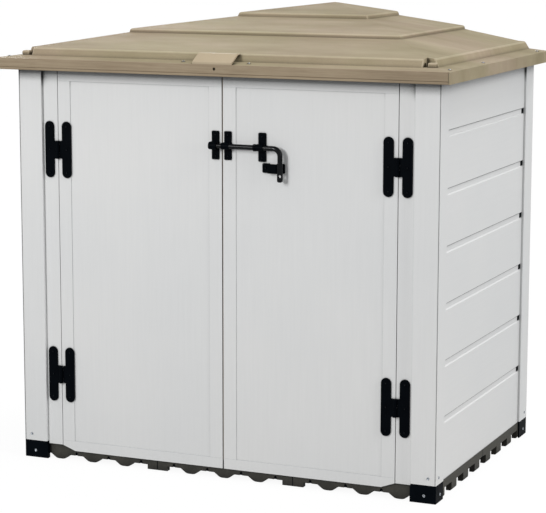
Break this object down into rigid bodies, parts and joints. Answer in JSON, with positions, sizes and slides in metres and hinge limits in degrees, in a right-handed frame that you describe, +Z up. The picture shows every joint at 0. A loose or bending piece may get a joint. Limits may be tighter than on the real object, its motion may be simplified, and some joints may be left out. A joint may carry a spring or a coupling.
{
  "type": "garden storage box",
  "caption": "Outdoor storage box of white plastic planks on clip-together floor tiles, with two hinged doors, a barrel bolt and a stepped roof",
  "frame": {"origin": "centre of the roof's plan, on the ground", "axes": "+Z up, doors towards -Y, +X to the right as one faces the doors"},
  "size_m": [1.3, 0.893, 1.254],
  "materials": {
    "white_pvc": "off-white extruded plastic with a faint wood grain",
    "roof_taupe": "taupe moulded plastic with a fine matt texture",
    "fascia_brown": "grey-brown plastic strip with a streaked grain",
    "tile_grey": "dark grey moulded plastic, matt",
    "black_plastic": "black moulded plastic",
    "black_ironmongery": "black powder-coated steel",
    "seal_beige": "soft beige seal",
    "zinc": "bright zinc-plated screws"
  },
  "bodies": {
    "box": {"floor_tile_1_1": "tile_grey", "floor_tile_2_1": "tile_grey", "floor_tile_3_1": "tile_grey", "floor_tile_1_2": "tile_grey", "floor_tile_2_2": "tile_grey", "floor_tile_3_2": "tile_grey", "front_left_foot": "black_plastic", "front_right_foot": "black_plastic", "rear_left_foot": "black_plastic", "rear_right_foot": "black_plastic", "front_left_post": "white_pvc", "front_right_post": "white_pvc", "rear_left_post": "white_pvc", "rear_right_post": "white_pvc", "left_plank_1": "white_pvc", "left_plank_2": "white_pvc", "left_plank_3": "white_pvc", "left_plank_4": "white_pvc", "left_plank_5": "white_pvc", "left_plank_6": "white_pvc", "left_plank_7": "white_pvc", "right_plank_1": "white_pvc", "right_plank_2": "white_pvc", "right_plank_3": "white_pvc", "right_plank_4": "white_pvc", "right_plank_5": "white_pvc", "right_plank_6": "white_pvc", "right_plank_7": "white_pvc", "back_plank_1": "white_pvc", "back_plank_2": "white_pvc", "back_plank_3": "white_pvc", "back_plank_4": "white_pvc", "back_plank_5": "white_pvc", "back_plank_6": "white_pvc", "back_plank_7": "white_pvc", "left_stile": "white_pvc", "right_stile": "white_pvc", "door_lintel": "white_pvc", "left_eaves_rail": "white_pvc", "right_eaves_rail": "white_pvc", "stile_hinge_plates": "black_ironmongery", "hinge_pins": "black_ironmongery", "roof_shell": "roof_taupe", "front_fascia": "fascia_brown", "frame_screws": "zinc", "stile_hinge_screws": "black_ironmongery"},
    "left_leaf": {"left_leaf_frame": "white_pvc", "left_leaf_panel": "white_pvc", "left_leaf_hinge_plates": "black_ironmongery", "left_keeper": "black_ironmongery", "left_leaf_screws": "black_ironmongery"},
    "right_leaf": {"right_leaf_frame": "white_pvc", "right_leaf_panel": "white_pvc", "meeting_seal": "seal_beige", "right_leaf_hinge_plates": "black_ironmongery", "right_keepers": "black_ironmongery", "catch_plate": "black_ironmongery", "right_leaf_screws": "black_ironmongery"},
    "bolt_slider": {"stop_collar": "black_ironmongery"},
    "bolt": {"bolt_rod": "black_ironmongery"}
  },
  "joints": [
    {"name": "left_leaf_hinge", "type": "hinge", "parent": "box", "child": "left_leaf", "pos_m": [-0.4935, -0.3865, 0.5595], "axis": [0, 0, -1], "range_deg": [0, 165]},
    {"name": "right_leaf_hinge", "type": "hinge", "parent": "box", "child": "right_leaf", "pos_m": [0.4935, -0.3865, 0.5595], "axis": [0, 0, 1], "range_deg": [0, 165]},
    {"name": "bolt_slide", "type": "slide", "parent": "right_leaf", "child": "bolt_slider", "axis": [-1, 0, 0], "range_m": [0, 0.025]},
    {"name": "bolt_turn", "type": "hinge", "parent": "bolt_slider", "child": "bolt", "pos_m": [0.06, -0.3985, 0.908], "axis": [-1, 0, 0], "range_deg": [0, 175]}
  ]
}
